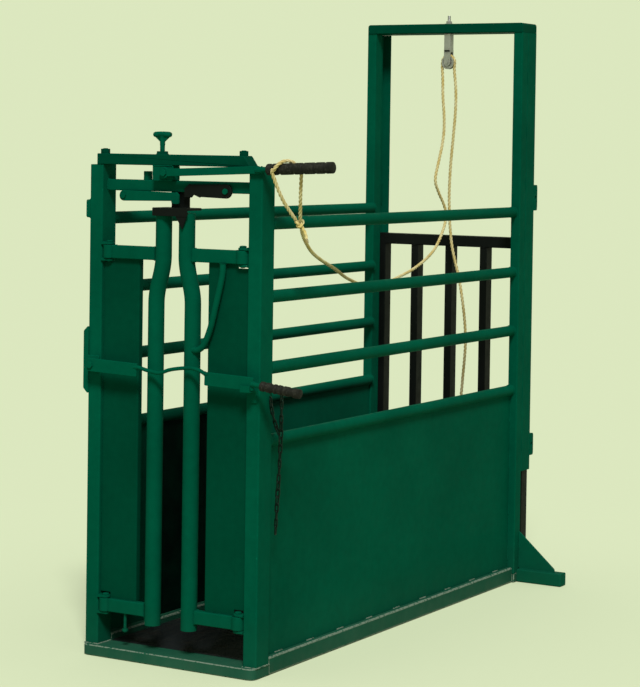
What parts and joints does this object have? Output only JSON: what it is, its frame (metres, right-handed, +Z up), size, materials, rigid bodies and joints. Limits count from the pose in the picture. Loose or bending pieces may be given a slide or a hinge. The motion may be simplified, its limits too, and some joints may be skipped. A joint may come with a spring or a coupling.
{
  "type": "calf processing chute",
  "caption": "Green steel calf chute: head-gate doors under a lever and lock arms, a hinged front bar, railed side panels and a black rear drop gate on a rope and pulley.",
  "frame": {"origin": "on the ground under the middle of the head gate, on the underside of the front sill", "axes": "+Z up, +Y from the head gate to the rear gate, +X to the side of the lever grip"},
  "size_m": [1.1054, 2.0372, 2.162],
  "materials": {
    "green_paint": "satin",
    "base_paint": "matte",
    "black_paint": "satin",
    "rubber": "matte",
    "bare_steel": "satin",
    "rope": "matte",
    "floor_steel": "matte"
  },
  "bodies": {
    "frame": {"base_skid_left": "base_paint", "base_skid_right": "base_paint", "floor_plate": "floor_steel", "front_bar_bracket": "green_paint", "front_bar_keeper": "green_paint", "front_post_left": "green_paint", "front_post_right": "green_paint", "front_sill": "base_paint", "gate_guide_left": "green_paint", "gate_guide_right": "green_paint", "hinge_pin_left_bottom": "green_paint", "hinge_pin_left_top": "green_paint", "hinge_pin_right_bottom": "green_paint", "hinge_pin_right_top": "green_paint", "lever_bearing": "green_paint", "lower_crossbar": "green_paint", "lower_rail_left": "green_paint", "lower_rail_right": "green_paint", "neck_guide": "black_paint", "pulley_hanger": "bare_steel", "rear_beam": "green_paint", "rear_foot_left": "green_paint", "rear_foot_right": "green_paint", "rear_post_left": "green_paint", "rear_post_right": "green_paint", "rear_sill": "base_paint", "rope_drop": "rope", "rope_run": "rope", "safety_chain": "bare_steel", "side_sheet_left": "green_paint", "side_sheet_right": "green_paint", "top_crossbar": "green_paint", "top_rail_left": "green_paint", "top_rail_right": "green_paint", "upper_rail_left": "green_paint", "upper_rail_right": "green_paint"},
    "left_door": {"neck_bar_left": "green_paint", "door_bar_left_top": "green_paint", "door_bar_left_bottom": "green_paint", "door_panel_left": "green_paint"},
    "right_door": {"neck_bar_right": "green_paint", "door_bar_right_top": "green_paint", "door_bar_right_bottom": "green_paint", "door_panel_right": "green_paint"},
    "lever": {"lever_bar": "green_paint", "lever_grip": "rubber", "rope_loop": "rope"},
    "left_lock_arm": {"lock_arm_left": "green_paint"},
    "right_lock_arm": {"lock_arm_right": "black_paint"},
    "adjusting_screw": {"adjusting_screw": "green_paint"},
    "front_bar": {"front_bar": "green_paint", "front_bar_grip": "rubber"},
    "rear_gate": {"gate_stile_left": "black_paint", "gate_stile_right": "black_paint", "gate_top_bar": "black_paint", "gate_bottom_bar": "black_paint", "gate_bar_1": "black_paint", "gate_bar_2": "black_paint", "gate_bar_3": "black_paint"},
    "pulley_sheave": {"pulley_sheave": "bare_steel"}
  },
  "joints": [
    {"name": "left_door_hinge", "type": "hinge", "parent": "frame", "child": "left_door", "pos_m": [-0.2535, -0.028, 0.73], "axis": [0, 0, 1], "range_deg": [0, 75]},
    {"name": "right_door_hinge", "type": "hinge", "parent": "frame", "child": "right_door", "pos_m": [0.2535, -0.028, 0.73], "axis": [0, 0, -1], "range_deg": [0, 75]},
    {"name": "lever_pivot", "type": "hinge", "parent": "frame", "child": "lever", "pos_m": [-0.032, -0.048, 1.563], "axis": [0, -1, 0], "range_deg": [0, 60], "deforming": ["rope_run"]},
    {"name": "left_arm_pivot", "type": "hinge", "parent": "frame", "child": "left_lock_arm", "pos_m": [-0.205, -0.02, 1.487], "axis": [0, -1, 0], "range_deg": [0, 8.5]},
    {"name": "right_arm_pivot", "type": "hinge", "parent": "frame", "child": "right_lock_arm", "pos_m": [0.183, -0.02, 1.508], "axis": [0, 1, 0], "range_deg": [0, 8.5]},
    {"name": "screw_turn", "type": "hinge", "parent": "frame", "child": "adjusting_screw", "pos_m": [-0.064, -0.013, 1.62], "axis": [0, 0, 1], "range_deg": [-720, 720]},
    {"name": "front_bar_pivot", "type": "hinge", "parent": "frame", "child": "front_bar", "pos_m": [-0.2895, -0.076, 0.9423], "axis": [0, -1, 0], "range_deg": [0, 80]},
    {"name": "gate_lift", "type": "slide", "parent": "frame", "child": "rear_gate", "axis": [0, 0, 1], "range_m": [0, 0.75], "deforming": ["rope_drop"]},
    {"name": "sheave_spin", "type": "hinge", "parent": "frame", "child": "pulley_sheave", "pos_m": [0.01, 1.8157, 1.982], "axis": [0, -1, 0], "range_deg": [0, 1600]}
  ],
  "couplings": [
    {"joint": "right_door_hinge", "follows": "left_door_hinge", "ratio": 1},
    {"joint": "left_arm_pivot", "follows": "lever_pivot", "ratio": 0.14},
    {"joint": "right_arm_pivot", "follows": "lever_pivot", "ratio": 0.14},
    {"joint": "sheave_spin", "follows": "gate_lift", "rad_per_m": 37}
  ]
}
